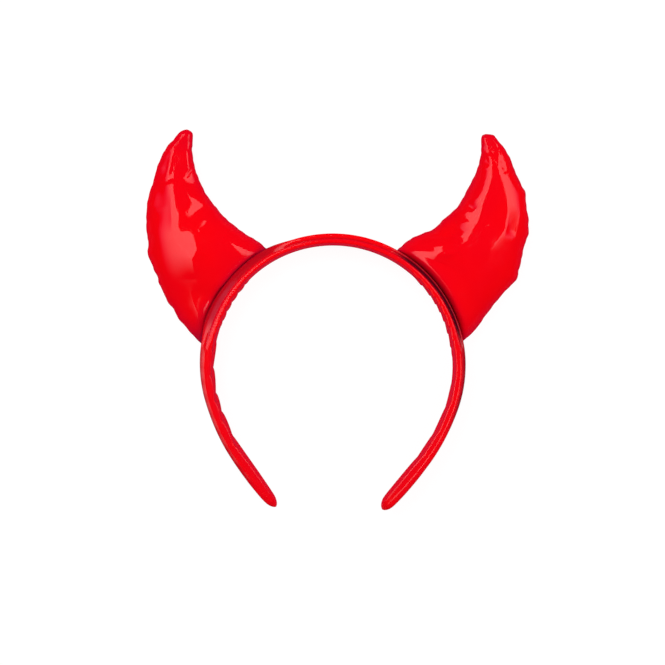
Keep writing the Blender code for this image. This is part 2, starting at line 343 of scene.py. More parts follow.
class Finish:
    """A procedural material, built up node by node."""

    def __init__(self, name):
        self.material = bpy.data.materials.new(name)
        self.material.use_nodes = True
        self.tree = self.material.node_tree
        self.shader = self.tree.nodes["Principled BSDF"]
        self.place = self.node("ShaderNodeTexCoord").outputs["Object"]

    def node(self, kind, settings=None, inputs=None):
        node = self.tree.nodes.new(kind)
        for name, value in (settings or {}).items():
            setattr(node, name, value)
        for name, value in (inputs or {}).items():
            self.feed(node.inputs[name], value)
        return node

    def feed(self, socket, value):
        if isinstance(value, Channel):
            value = value.socket
        if isinstance(value, bpy.types.NodeSocket):
            self.tree.links.new(value, socket)
        else:
            socket.default_value = value

    def noise(self, scale, detail=2.0):
        inputs = {"Vector": self.place, "Scale": scale, "Detail": detail}
        return Channel(self, self.node("ShaderNodeTexNoise", {}, inputs).outputs[0])

    def attribute(self, name):
        node = self.node("ShaderNodeAttribute", {"attribute_name": name})
        return Channel(self, node.outputs["Fac"])

    def fade(self, value, low, high):
        inputs = {"Value": value, "From Min": low, "From Max": high}
        node = self.node("ShaderNodeMapRange", {"interpolation_type": "SMOOTHSTEP"}, inputs)
        return Channel(self, node.outputs[0])

    def blend(self, amount, first, second):
        node = self.node("ShaderNodeMix", {"data_type": "RGBA"})
        self.feed(node.inputs[0], amount)
        self.feed(node.inputs[6], first)
        self.feed(node.inputs[7], second)
        return node.outputs[2]

    def bump(self, height, distance):
        inputs = {"Height": height, "Distance": distance}
        if self.shader.inputs["Normal"].is_linked:
            inputs["Normal"] = self.shader.inputs["Normal"].links[0].from_socket
        self.feed(self.shader.inputs["Normal"], self.node("ShaderNodeBump", {}, inputs).outputs[0])


# %% [markdown]
# ## Wet-look vinyl
# Vinyl cloth is a thin plastic skin on a woven back. Its gloss comes from a low roughness,
# and what makes it read as cloth and not as hard plastic is the skin's slight unevenness: a
# broad ripple from what is underneath, a fine orange peel, and a less shiny finish where it
# dips into a seam. There shade is also painted into the colour, as a deeper red. How much
# painted shade a point gets comes from the mesh as the attribute crease.

# %% Vinyl
VINYL_RED = (0.86, 0.0004, 0.0055, 1.0)
VINYL_WARM = (0.89, 0.0006, 0.0040, 1.0)
VALLEY_SHADE_RED = (0.30, 0.0, 0.035, 1.0)
GROOVE_SHADE_RED = (0.12, 0.0, 0.010, 1.0)
VINYL_IOR = 1.5
CLOUD_SCALE = 38.0
SMEAR_SCALE, SMEAR_ROUGHNESS = 220.0, 0.04
SEAM_ROUGHNESS = 0.15
PEEL_SCALE, PEEL_HEIGHT = 1600.0, 0.004 * MM


def vinyl(name, ripple, ripple_scale, roughness, shade_red):
    finish = Finish(name)
    cloud = finish.fade(finish.noise(CLOUD_SCALE), 0.35, 0.65)
    skin = finish.blend(cloud, VINYL_RED, VINYL_WARM)
    # Painted shade: where the attribute crease is high, the skin turns towards the darker shade
    # red.
    color = finish.blend(finish.attribute("crease"), skin, shade_red)
    finish.feed(finish.shader.inputs["Base Color"], color)
    smear = finish.noise(SMEAR_SCALE, 4.0) * SMEAR_ROUGHNESS
    matt = finish.attribute("crease") * SEAM_ROUGHNESS + smear
    finish.feed(finish.shader.inputs["Roughness"], roughness + matt)
    finish.shader.inputs["IOR"].default_value = VINYL_IOR
    finish.bump(finish.noise(ripple_scale, 1.0), ripple)
    finish.bump(finish.noise(PEEL_SCALE), PEEL_HEIGHT)
    return finish.material


horn_vinyl = vinyl("horn_vinyl", 0.05 * MM, 60.0, 0.04, VALLEY_SHADE_RED)
band_vinyl = vinyl("band_vinyl", 0.06 * MM, 110.0, 0.07, GROOVE_SHADE_RED)
lining_vinyl = vinyl("lining_vinyl", 0.08 * MM, 130.0, 0.08, VALLEY_SHADE_RED)

# %% [markdown]
# ## The band's path
# A stiff headband is an arch of three arcs, close to round over the crown and ever straighter
# towards the ends of the legs. Each cover strip is sewn as a long straight tube, so it is
# modelled straight first and then laid along the path: along counts from the crown, negative
# on the left leg, out is the distance outwards from the path, and up is across the width.

# %% Path of the band
CROWN_RADIUS = 66.7 * MM
CROWN_SWEEP = math.radians(108.6)
LEG_RADIUS = 105.0 * MM
LEG_SWEEP = math.radians(16.5)
TOE_RADIUS = 260.0 * MM
TOE_SWEEP = math.radians(7.6)
BAND_ARCS = ((CROWN_RADIUS, CROWN_SWEEP), (LEG_RADIUS, LEG_SWEEP), (TOE_RADIUS, TOE_SWEEP))
HALF_LENGTH = sum(radius * sweep for radius, sweep in BAND_ARCS)
BAND_THICKNESS = 5.2 * MM
BAND_WIDTH = 24.0 * MM
CROWN_Y = band_high.y - BAND_THICKNESS / 2 - CROWN_RADIUS


def lay_on_band(along, out, up):
    """World places of points given along, out from and across the band."""
    length = np.abs(along)
    x, y = np.zeros_like(length), np.zeros_like(length)
    centre_x, centre_y, start, start_angle, radius_before = 0.0, 0.0, 0.0, 0.0, CROWN_RADIUS
    for radius, sweep in BAND_ARCS:
        centre_x += math.sin(start_angle) * (radius_before - radius)
        centre_y += math.cos(start_angle) * (radius_before - radius)
        angle = start_angle + (length - start) / radius
        here = length >= start
        x = np.where(here, centre_x + (radius + out) * np.sin(angle), x)
        y = np.where(here, centre_y + (radius + out) * np.cos(angle), y)
        start += radius * sweep
        start_angle += sweep
        radius_before = radius
    side = np.where(along < 0, -1.0, 1.0)
    return np.stack([BAND_X + side * x, CROWN_Y + y, MIDDLE_Z + up], axis=-1)


path_lengths = np.linspace(-HALF_LENGTH, HALF_LENGTH, 1200)
path_places = lay_on_band(path_lengths, 0 * path_lengths, 0 * path_lengths)[:, :2]


def along_at(column, row):
    """Distance from the crown of the path's point nearest to a photo pixel."""
    away = np.linalg.norm(path_places - np.array(at_pixel(column, row, 12.0 * MM)), axis=1)
    return path_lengths[away.argmin()]


print("band length in mm:", round(2 * HALF_LENGTH / MM, 1))

# %% [markdown]
# ## How the strips change along a leg
# A table with a few rows says how wide and thick the band is at each share of a leg, and a
# smooth line through the rows gives what is between them. The inner strip is shorter than the
# vinyl sewn on it, so it gathers: into leaves down the left leg, each swelling quickly and
# tapering slowly, into scallops beside the left horn, and into small teeth at the right.

# %% Tables of the band
LegRow = namedtuple("LegRow", "share width thickness outer")
LEFT_LEG = (
    LegRow(0.00, 1.00, 1.00, 0.54),
    LegRow(0.20, 1.00, 1.02, 0.52),
    LegRow(0.38, 1.00, 1.16, 0.48),
    LegRow(0.46, 1.00, 1.20, 0.46),
    LegRow(0.58, 1.00, 1.02, 0.42),
    LegRow(0.68, 1.00, 0.90, 0.40),
    LegRow(0.80, 0.96, 1.00, 0.40),
    LegRow(0.90, 0.86, 1.06, 0.42),
    LegRow(0.96, 0.74, 1.00, 0.46),
    LegRow(1.00, 0.56, 0.62, 0.50),
)
RIGHT_LEG = (
    LegRow(0.00, 1.00, 1.00, 0.54),
    LegRow(0.20, 1.00, 1.00, 0.52),
    LegRow(0.38, 1.00, 0.96, 0.48),
    LegRow(0.46, 1.00, 1.04, 0.46),
    LegRow(0.58, 1.00, 0.98, 0.42),
    LegRow(0.68, 1.00, 0.94, 0.40),
    LegRow(0.80, 0.96, 1.04, 0.40),
    LegRow(0.90, 0.86, 1.12, 0.42),
    LegRow(0.96, 0.74, 1.08, 0.46),
    LegRow(1.00, 0.56, 0.78, 0.50),
)


def smooth_line(shares, values, at):
    """Values on a curve through table rows that never swings past them."""
    shares, values = np.array(shares), np.array(values)
    rates = np.diff(values) / np.diff(shares)
    before, after = np.append(rates[:1], rates), np.append(rates, rates[-1:])
    together = before * after
    slopes = np.where(together > 0, 2 * together / np.where(together > 0, before + after, 1), 0)
    k = np.clip(np.searchsorted(shares, at, side="right") - 1, 0, len(rates) - 1)
    step = shares[k + 1] - shares[k]
    t = (np.clip(at, shares[0], shares[-1]) - shares[k]) / step
    rise, start, end = values[k + 1] - values[k], slopes[k] * step, slopes[k + 1] * step
    return values[k] + t * (start + t * (3 * rise - 2 * start - end + t * (start + end - 2 * rise)))


def of_leg(column, along):
    share = np.abs(along) / HALF_LENGTH
    left, right = (
        smooth_line([row.share for row in leg], [getattr(row, column) for row in leg], share)
        for leg in (LEFT_LEG, RIGHT_LEG)
    )
    return np.where(along < 0, left, right)


Gather = namedtuple("Gather", "column row length depth")
LEFT_GATHERS = (
    Gather(213.7, 350, 14.0, 1.1),
    Gather(212.5, 376, 13.5, 1.5),
    Gather(217.5, 401, 10.5, 1.4),
    Gather(222.7, 420, 13.5, 1.5),
    Gather(236.0, 445, 36.0, 1.3),
)
RIGHT_GATHERS = (
    Gather(453.0, 378, 13.0, 0.5),
    Gather(446.0, 402, 15.0, 0.6),
    Gather(434.0, 430, 14.0, 0.6),
    Gather(420.0, 452, 36.0, 1.0),
)
SCALLOP_ENDS = ((245, 285), (213, 335))
SCALLOP_PITCH, SCALLOP_REACH = 6.1 * MM, 0.7 * MM
TEETH_ENDS = ((415, 262), (452, 352))
TEETH_PITCH, TEETH_REACH = 6.3 * MM, 0.65 * MM
TEETH_STRAY, TEETH_STRAY_LENGTH = 1.2 * MM, 5.3 * MM
TOOTH_STEP = 0.12


def between(along, ends, soft=4.0 * MM):
    """1 between two photo pixels on the band, fading over a soft stretch at each end."""
    low, high = sorted(along_at(*end) for end in ends)
    return smoothstep((along - low) / soft) * smoothstep((high - along) / soft)


def gathers(along):
    """Leaf-shaped bulges: each swells quickly at its top and tapers slowly into the next one."""
    bulge = np.zeros_like(along)
    for leaves, way in ((LEFT_GATHERS, -1.0), (RIGHT_GATHERS, 1.0)):
        for leaf in leaves:
            down = way * (along - along_at(leaf.column, leaf.row))
            t = np.clip(down / (leaf.length * MM), 0.0, 1.0)
            lens = 1.9 * t ** 0.6 * (1 - t) ** 0.9
            bulge = np.maximum(bulge, leaf.depth * MM * lens)
    return bulge


def towards_head(along):
    """How far the gathered edge of the inner strip reaches towards the head."""
    scallop = np.abs(np.sin(math.pi * along / SCALLOP_PITCH)) ** 0.8
    tooth = (along + TEETH_STRAY * np.sin(along / TEETH_STRAY_LENGTH)) / TEETH_PITCH % 1.0
    tooth = tooth * smoothstep((1 - tooth) / TOOTH_STEP)
    reach = gathers(along) + SCALLOP_REACH * scallop * between(along, SCALLOP_ENDS)
    return reach + TEETH_REACH * tooth * between(along, TEETH_ENDS)


# %% [markdown]
# ## Rolling a strip
# A strip starts as a flat grid, like the cut vinyl. Its rows are then folded round the section
# of a thin pad with round edges, its two long sides meet and are merged, and its ends are
# closed. A grid keeps even squares, which take gloss much better than long thin faces.

# %% Rolled strip
# The attribute crease holds painted shade: how far the vinyl's colour is darkened at a point.
def set_painted_shade(piece, amounts):
    layer = piece.data.attributes.new("crease", "FLOAT", "POINT")
    layer.data.foreach_set("value", np.clip(amounts, 0.0, 1.0).astype(np.float32))


ALONG_STEPS = 1060
ROUND_STEPS = 14
FLAT_STEPS = 7


def section_turns():
    """Turn round the edge, and which of the two edges a point of the section belongs to."""
    turns, edges = [], []
    for half in (0, 1):
        edge = 1.0 - 2.0 * half
        for step in range(ROUND_STEPS + 1):
            turns.append(math.pi * (half + step / ROUND_STEPS))
            edges.append(edge)
        for step in range(1, FLAT_STEPS):
            turns.append(math.pi * (half + 1))
            edges.append(edge * (1.0 - 2.0 * step / FLAT_STEPS))
    turns.append(2 * math.pi)
    edges.append(1.0)
    return np.array(turns), np.array(edges)


def rolled_strip(name, section):
    """A closed tube: section turns along, turn and edge into places and the amount of painted
    shade.
    """
    turns, edges = section_turns()
    deselect()
    bpy.ops.mesh.primitive_grid_add(
        x_subdivisions=ALONG_STEPS, y_subdivisions=len(turns) - 1, size=2.0
    )
    strip = bpy.context.object
    strip.name = name
    cut = points(strip)
    around = np.rint((cut[:, 1] + 1) / 2 * (len(turns) - 1)).astype(int)
    share = cut[:, 0]
    along = HALF_LENGTH * share
    places, painted_shade = section(along, turns[around], edges[around])
    move_points(strip, places)
    set_painted_shade(strip, painted_shade)
    bpy.ops.object.mode_set(mode="EDIT")
    bpy.ops.mesh.select_all(action="SELECT")
    bpy.ops.mesh.remove_doubles(threshold=0.001 * MM)
    bpy.ops.mesh.select_all(action="DESELECT")
    bpy.ops.mesh.select_non_manifold()
    bpy.ops.mesh.fill_holes(sides=0)
    bpy.ops.mesh.select_all(action="SELECT")
    bpy.ops.mesh.normals_make_consistent(inside=False)
    bpy.ops.object.mode_set(mode="OBJECT")
    strip.data.shade_smooth()
    return strip


# %% [markdown]
# ## The band's front edge
# Seen from the front, the band is one narrow edge across both strips, and its shape changes
# along the way. Each kind of edge is a small function below that gives a drop below the full
# width and how much shade is painted on the vinyl there. One function adds them up, and both
# strips follow it, so they always meet. First comes where each kind of edge starts and ends.

# %% Stretches of the edge
LEFT_HORN_ENDS, PULL_SOFT = ((296, 241), (205, 348)), 18 * MM
RIGHT_HORN_ENDS, TUCK_SOFT = ((388, 240), (466, 354)), 16 * MM
LEFT_LEG_START, LEFT_LEG_SOFT = (204, 334), 12 * MM
RIGHT_LEG_START, RIGHT_LEG_SOFT = (460, 330), 14 * MM


def faces_of_band(along):
    """Offsets from the path of the inner face, the seam between the strips and the outer face."""
    thickness = BAND_THICKNESS * of_leg("thickness", along)
    return -thickness / 2, thickness * (0.5 - of_leg("outer", along)), thickness / 2


def stretches(along):
    """Shares of the kinds of edge: over the crown, at the left horn, at the right one, on a leg."""
    pulled = between(along, LEFT_HORN_ENDS, PULL_SOFT)
    tucked = between(along, RIGHT_HORN_ENDS, TUCK_SOFT)
    left, right = along_at(*LEFT_LEG_START), along_at(*RIGHT_LEG_START)
    leg = smoothstep((left - along) / LEFT_LEG_SOFT) + smoothstep((along - right) / RIGHT_LEG_SOFT)
    return np.clip(1 - pulled - tucked - leg, 0.0, 1.0), pulled, tucked, leg


# %% [markdown]
# ## Two edges: over the crown and beside the left horn
# Over the crown two rolls meet in a shallow groove, and shade is painted into it. Beside the
# left horn, whose stuffing pulls on the stitches, the edge is a ridge near the head that slopes
# out and down to the horn; shade is painted on the slope, deepening outwards, with a darker
# painted line where it meets the horn.

# %% Crown edge and pulled edge
GROOVE_BREADTH, GROOVE_DEPTH, GROOVE_DARKNESS = 0.55 * MM, 0.42 * MM, 0.30
LEFT_RIDGE = 1.9 * MM
LEFT_SLOPE = 3.2 * MM
LEFT_PULL = 1.5 * MM
SLOPE_DARKNESS, SLOPE_ONSET = 0.50, 2.2
LINE_DARKNESS, LINE_SHARE = 0.20, 0.15


def crown_edge(out, seam):
    # Painted shade in the groove.
    groove = bell(out - seam, GROOVE_BREADTH)
    return GROOVE_DEPTH * groove, GROOVE_DARKNESS * groove


def pulled_edge(out, inner, outer):
    slope = np.clip((out - inner - LEFT_RIDGE) / (outer - inner - LEFT_RIDGE), 0.0, 1.0)
    line = smoothstep((slope - (1 - LINE_SHARE)) / LINE_SHARE)
    # Painted shade: darker down the slope, and a darker line at its foot beside the horn.
    dark = SLOPE_DARKNESS * smoothstep(slope * SLOPE_ONSET) + LINE_DARKNESS * line
    return LEFT_SLOPE * slope, dark


# %% [markdown]
# ## Two more: beside the right horn and down the legs
# Beside the right horn the outer strip is tucked under, and leaves a deep valley with a thin
# fold behind it; shade is painted into the valley and over the fold beyond it. Down the legs
# the strips meet in a narrow raised seam, steeper on the side of the head, and the outer strip
# lies in painted shade, with more painted shade on its outer corner.

# %% Tucked edge and leg edge
VALLEY_OUT = 0.90 * MM
VALLEY_BREADTH = 0.78 * MM
VALLEY_DEPTH = 3.6 * MM
FOLD_DROP, FOLD_FALL = 1.7 * MM, 0.8 * MM
FOLD_DARKNESS, FOLD_START = 0.55, 0.4 * MM
BEAD_HEIGHT = 0.16 * MM
BEAD_INNER, BEAD_OUTER = 0.437 * MM, 0.836 * MM
SHADE_RIGHT, SHADE_RIGHT_SOFT = ((455, 300), (440, 440)), 22 * MM
SHADE_LEFT, SHADE_LEFT_SOFT = ((208, 320), (262, 490)), 12 * MM
SHADE_LEFT_SHARE = 0.5
SHADE_DARKNESS, SHADE_START = 0.50, 0.8 * MM
CORNER_DARKNESS, CORNER_BREADTH = 0.30, 1.6 * MM


def tucked_edge(out, seam):
    beyond = out - seam - VALLEY_OUT
    valley = bell(beyond, VALLEY_BREADTH)
    drop = FOLD_DROP * smoothstep(beyond / FOLD_FALL + 1) + (VALLEY_DEPTH - FOLD_DROP) * valley
    # Painted shade in the valley and over the fold beyond it.
    return drop, valley + FOLD_DARKNESS * smoothstep(beyond / FOLD_START)


def leg_edge(along, out, seam, outer):
    bead = bell(out - seam, np.where(out > seam, BEAD_OUTER, BEAD_INNER))
    shade = between(along, SHADE_RIGHT, SHADE_RIGHT_SOFT)
    shade = shade + SHADE_LEFT_SHARE * between(along, SHADE_LEFT, SHADE_LEFT_SOFT)
    # Painted shade on the outer strip near the horns, and on its outer corner all along the legs.
    dark = SHADE_DARKNESS * shade * smoothstep((out - seam) / SHADE_START)
    dark = dark + CORNER_DARKNESS * smoothstep((out - outer) / CORNER_BREADTH + 1)
    return BEAD_HEIGHT * (1 - bead), dark


# %% [markdown]
# ## The whole profile
# Each kind of edge counts by its share at that place, on top of the two rounded corners. The
# outer corner is sharper on the legs.

# %% Profile of the edge
INNER_ROUND = 1.1 * MM
OUTER_ROUND = 1.4 * MM
LEG_SHARPNESS = 0.75
EDGE_RIM, EDGE_RIM_DARKNESS = 0.35 * MM, 0.12


def rounding(inside, radius):
    """Drop of a rounded corner, at a distance inside the face."""
    t = np.clip(inside / radius, 0.0, 1.0)
    return 0.8 * radius * (1 - np.sqrt(1 - (1 - t) ** 2))


def edge_profile(along, out):
    """Drop below the full width, and how much shade is painted on the vinyl there."""
    inner, seam, outer = faces_of_band(along)
    crown, pulled, tucked, leg = stretches(along)
    outer_round = OUTER_ROUND * (1 - LEG_SHARPNESS * leg)
    drop = rounding(out - inner, INNER_ROUND) + rounding(outer - out, outer_round)
    # Painted shade: a thin darker rim along both faces of the band, where the edge rounds off.
    dark = EDGE_RIM_DARKNESS * smoothstep(1 - np.minimum(out - inner, outer - out) / EDGE_RIM)
    for share, (lower, darker) in (
        (crown, crown_edge(out, seam)),
        (pulled, pulled_edge(out, inner, outer)),
        (tucked, tucked_edge(out, seam)),
        (leg, leg_edge(along, out, seam, outer)),
    ):
        drop = drop + share * lower
        dark = dark + share * darker
    return drop, dark


# %% [markdown]
# ## The ends
# A real cover is sewn shut at the end of each leg, where the band is narrower. Here both strips
# shrink towards their path over the last few millimetres.

# %% Closed ends of the legs
END_ROUND = 4.5 * MM
END_FLOOR = 0.02
END_WIDTH = 0.4


def closing(along):
    """1 along the band and a quarter circle down to its closed ends."""
    t = np.clip((HALF_LENGTH - np.abs(along)) / END_ROUND, 0.0, 1.0)
    return np.sqrt(np.maximum(1 - (1 - t) ** 2, END_FLOOR))


def half_width(along):
    narrowing = END_WIDTH + (1 - END_WIDTH) * closing(along)
    return BAND_WIDTH / 2 * of_leg("width", along) * narrowing


# %% [markdown]
# ## The outer strip
# It covers the outside of the band. Its front edge has a slight ripple, as thin vinyl has where
# it is pulled round a corner.

# %% Outer strip
RIPPLE, RIPPLE_PITCH, RIPPLE_STRAY = 0.07 * MM, 9.3 * MM, 17 * MM
TOP_START, TOP_SOFT = 0.5, 0.4


def outer_section(along, turn, edge):
    inner, seam, outer = faces_of_band(along)
    out = (outer + seam) / 2 + (outer - seam) / 2 * np.cos(turn)
    drop, dark = edge_profile(along, out)
    wave = np.sin(2 * math.pi * along / RIPPLE_PITCH + 2.0 * np.sin(along / RIPPLE_STRAY))
    ripple = RIPPLE * (1 + wave)
    up = edge * (half_width(along) - drop - ripple)
    top = smoothstep((np.abs(edge) - TOP_START) / TOP_SOFT)
    outwards = (out - seam) / (outer - seam)
    pull = LEFT_PULL * between(along, LEFT_HORN_ENDS, PULL_SOFT) * outwards
    return lay_on_band(along, (out + top * pull) * closing(along), up), dark * top


outer_strip = rolled_strip("band_outer_strip", outer_section)
outer_strip.data.materials.append(band_vinyl)
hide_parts("band_outer_cover")
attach(outer_strip, "root")
report(outer_strip)

# %% [markdown]
# ## The inner strip
# The same tube again, on the side of the head, with the gathers. A row of small dimples runs
# beside the left horn, where the stitches of the seam pull the roll down at every hole.

# %% Inner strip
STITCH_PITCH = 1.62 * MM
STITCH_ENDS = ((268, 258), (207, 345))
STITCH_DEPTH, STITCH_BREADTH = 0.22 * MM, 0.7 * MM
BACK_SHIFT, BACK_SHARE = 4 * MM, 0.8
REACH_START, REACH_SOFT, MIDDLE_REACH = 0.25, 0.6, 0.15
HOLLOW = 0.6 * MM
LEAF_SHOWN, LEAF_START, LEAF_SOFT, LEAF_DARKNESS = 0.5 * MM, 0.45, 0.4, 0.12


def inner_section(along, turn, edge):
    inner, seam, outer = faces_of_band(along)
    out = (seam + inner) / 2 + (seam - inner) / 2 * np.cos(turn)
    drop, dark = edge_profile(along, out)
    stitch = 0.5 + 0.5 * np.cos(2 * math.pi * along / STITCH_PITCH)
    row = bell(out - inner - LEFT_RIDGE, STITCH_BREADTH)
    drop = drop + STITCH_DEPTH * stitch * row * between(along, STITCH_ENDS)
    up = edge * (half_width(along) - drop)
    inwards = np.clip((seam - out) / (seam - inner), 0.0, 1.0)
    behind = towards_head(along - BACK_SHIFT) * BACK_SHARE
    reach = np.where(edge > 0, towards_head(along), behind)
    near_edge = MIDDLE_REACH + (1 - MIDDLE_REACH) * np.abs(edge) ** 3
    out = out - reach * smoothstep((inwards - REACH_START) / REACH_SOFT) * near_edge
    out = out + HOLLOW * inwards * (1 - edge ** 4)
    # Painted shade on the leaves of the gathers, kept with the rest to the rounded edges of the
    # strip.
    leafy = smoothstep(gathers(along) / LEAF_SHOWN) * smoothstep((inwards - LEAF_START) / LEAF_SOFT)
    dark = (dark + LEAF_DARKNESS * leafy) * edge ** 4
    return lay_on_band(along, out * closing(along), up), dark


inner_strip = rolled_strip("band_inner_strip", inner_section)
inner_strip.data.materials.append(lining_vinyl)
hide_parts("band_inner_cover")
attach(inner_strip, "root")
report(inner_strip)

# %% [markdown]
# ## The horns
# A horn is two panels of vinyl sewn along the outline and stuffed. The CAD panels are copied,
# set seam to seam and merged into one closed skin, and a cloth simulation with air pressure
# settles it as stuffing would. The skin comes first. It has to be closed, or the air would
# have nothing to push against, so the edges that are still open are counted.

# %% Closed skin from the two CAD panels
SAME_POINT = 0.01 * MM
SAME_SEAM_POINT = 0.05 * MM
ON_SEAM = 0.2 * MM
FLAT_ENOUGH = math.radians(60)


def horn_skin(name):
    deselect()
    panels = []
    for face in ("_front", "_back"):
        panel = bpy.data.objects.new(name, frame["nodes"][name + face].data.copy())
        bpy.context.scene.collection.objects.link(panel)
        panel.data.materials.clear()
        panel.select_set(True)
        panels.append(panel)
    bpy.context.view_layer.objects.active = panels[0]
    bpy.ops.object.join()
    horn = panels[0]
    bpy.ops.object.mode_set(mode="EDIT")
    bpy.ops.mesh.select_all(action="SELECT")
    bpy.ops.mesh.remove_doubles(threshold=SAME_POINT)
    bpy.ops.mesh.select_mode(type="FACE")
    bpy.ops.mesh.select_all(action="DESELECT")
    bpy.ops.object.mode_set(mode="OBJECT")
    table = points(horn)
    seam = np.abs(table[:, 2] - MIDDLE_Z) < ON_SEAM
    table[seam, 2] = MIDDLE_Z
    move_points(horn, table)
    for polygon in horn.data.polygons:
        polygon.select = all(seam[corner] for corner in polygon.vertices)
    bpy.ops.object.mode_set(mode="EDIT")
    bpy.ops.mesh.delete(type="FACE")
    bpy.ops.mesh.select_all(action="SELECT")
    bpy.ops.mesh.remove_doubles(threshold=SAME_SEAM_POINT)
    bpy.ops.mesh.tris_convert_to_quads(face_threshold=FLAT_ENOUGH, shape_threshold=FLAT_ENOUGH)
    bpy.ops.mesh.normals_make_consistent(inside=False)
    bpy.ops.mesh.select_all(action="DESELECT")
    bpy.ops.mesh.select_mode(type="EDGE")
    bpy.ops.mesh.select_non_manifold()
    bpy.ops.object.mode_set(mode="OBJECT")
    print(name, "open edges:", sum(edge.select for edge in horn.data.edges))
    return horn


def horn_seat(table):
    """How far points lie outside the band's outer face."""
    away = np.hypot(table[:, 0] - BAND_X, table[:, 1] - CROWN_Y)
    return away - (CROWN_RADIUS + BAND_THICKNESS / 2)


# %% [markdown]
# ## Creases and bends
# Where a highlight breaks is what makes vinyl look like vinyl. So each crease is a line through
# a few pixels of the photo with a breadth and a depth in mm, a dent if positive and a ridge if
# negative, and a lean makes one side steeper. A nudge bends the outline, where stitches pull.

# %% Creases and nudges placed by photo pixels
Crease = namedtuple("Crease", "pixels breadth depth lean")
LEFT_CREASES = (
    Crease(((167, 179), (174, 194), (180, 213), (175, 236)), 4.0, -0.64, 0.1),
    Crease(
        ((190, 220), (194, 227), (198, 235), (200, 252), (193, 258), (194, 280)),
        4.9, -0.93, -0.3,
    ),
    Crease(((192, 301), (211, 296), (214, 303)), 7.0, 1.20, -0.4),
    Crease(((156, 155), (156, 177), (160, 209)), 4.3, 1.04, -0.1),
    Crease(((184, 186), (201, 178)), 5.2, 1.10, -0.2),
    Crease(((189, 224), (200, 207), (202, 203)), 3.0, 0.57, 0.1),
    Crease(((200, 236), (202, 229), (209, 218)), 1.7, 0.24, -0.3),
    Crease(((220, 243), (226, 223), (238, 243)), 2.7, 0.19, 0.1),
    Crease(((224, 238), (236, 246), (248, 250)), 6.0, -0.80, 0.0),
    Crease(((240, 262), (254, 254), (264, 246)), 5.0, -0.60, 0.0),
    Crease(((188, 165), (195, 164), (193, 163)), 2.7, 0.36, -0.2),
    Crease(((172, 148), (186, 143)), 2.3, 0.47, 0.4),
    Crease(((172, 139), (180, 134), (180, 174)), 3.6, 0.52, 0.1),
    Crease(((176, 150), (187, 146)), 1.0, 0.25, 0.0),
    Crease(((172, 149), (166, 179)), 1.3, -0.45, -0.1),
    Crease(((186, 124), (182, 147)), 2.5, 0.44, 0.3),
    Crease(((187, 171), (190, 173)), 2.9, 0.40, 0.3),
    Crease(((141, 215), (172, 214)), 7.0, 1.20, 0.0),
)
RIGHT_CREASES = (
    Crease(
        ((500, 164), (492, 181), (489, 192), (482, 209), (478, 226), (444, 246)),
        2.8, -0.18, 0.6,
    ),
    Crease(((436, 215), (450, 230), (457, 247)), 5.8, 1.20, 0.6),
    Crease(((511, 143), (482, 161)), 1.3, -0.04, -0.6),
    Crease(((436, 262), (441, 250), (442, 236)), 7.5, -2.00, 0.0),
    Crease(((428, 254), (440, 255), (452, 254), (463, 245)), 1.5, -0.40, 0.2),
    Crease(((450, 228), (463, 200)), 4.9, 0.67, 0.2),
    Crease(((486, 224), (502, 235)), 7.0, 0.55, -0.2),
    Crease(((505, 149), (511, 175)), 1.7, -0.53, 0.0),
    Crease(((510, 168), (538, 222)), 6.0, -0.82, 0.1),
    Crease(((486, 150), (487, 167)), 1.9, 0.40, -0.1),
    Crease(((486, 155), (493, 152)), 5.6, -0.92, 0.3),
    Crease(((483, 226), (469, 242)), 2.3, 0.37, 0.2),
    Crease(((467, 202), (475, 210)), 2.3, 0.93, 0.0),
    Crease(((517, 231), (506, 229)), 5.5, 0.89, -0.6),
)


Nudge = namedtuple("Nudge", "pixel reach right up")
LEFT_NUDGES = (
    Nudge((174, 138), 3.5, 0.9, -0.1),
    Nudge((193, 133), 1.6, 0.6, 0.0),
    Nudge((152, 180), 5.0, 0.6, 0.0),
    Nudge((151, 240), 2.2, 0.5, 0.0),
    Nudge((147, 255), 3.2, -1.2, 0.1),
    Nudge((156, 277), 2.6, 0.6, 0.2),
    Nudge((167, 301), 2.0, -0.4, -0.1),
    Nudge((172, 309), 1.8, 0.6, 0.2),
    Nudge((180, 321), 2.4, -0.4, -0.2),
    Nudge((211, 205), 7.0, 0.25, 0.1),
)
RIGHT_NUDGES = (
    Nudge((491, 134), 2.2, 1.5, 0.2),
    Nudge((499, 141), 1.8, -0.5, 0.0),
    Nudge((516, 171), 4.0, -0.5, 0.0),
    Nudge((524, 192), 3.2, 1.0, 0.1),
    Nudge((527, 209), 3.0, -0.6, 0.0),
    Nudge((528, 235), 2.6, 0.6, 0.0),
    Nudge((515, 280), 3.6, 1.2, -0.2),
    Nudge((476, 329), 5.0, 0.6, -0.3),
    Nudge((456, 208), 7.0, 0.5, -0.2),
    Nudge((434, 228), 4.0, 0.4, -0.5),
)


# %% [markdown]
# ## Depth of a crease
# For each point of the horn, the nearest place on the crease's line is found, stretch by
# stretch. The dent fades away from the line and towards both of its ends.

# %% Depth of a crease
LEAN_SHARE = 0.7
LINE_END = 0.02


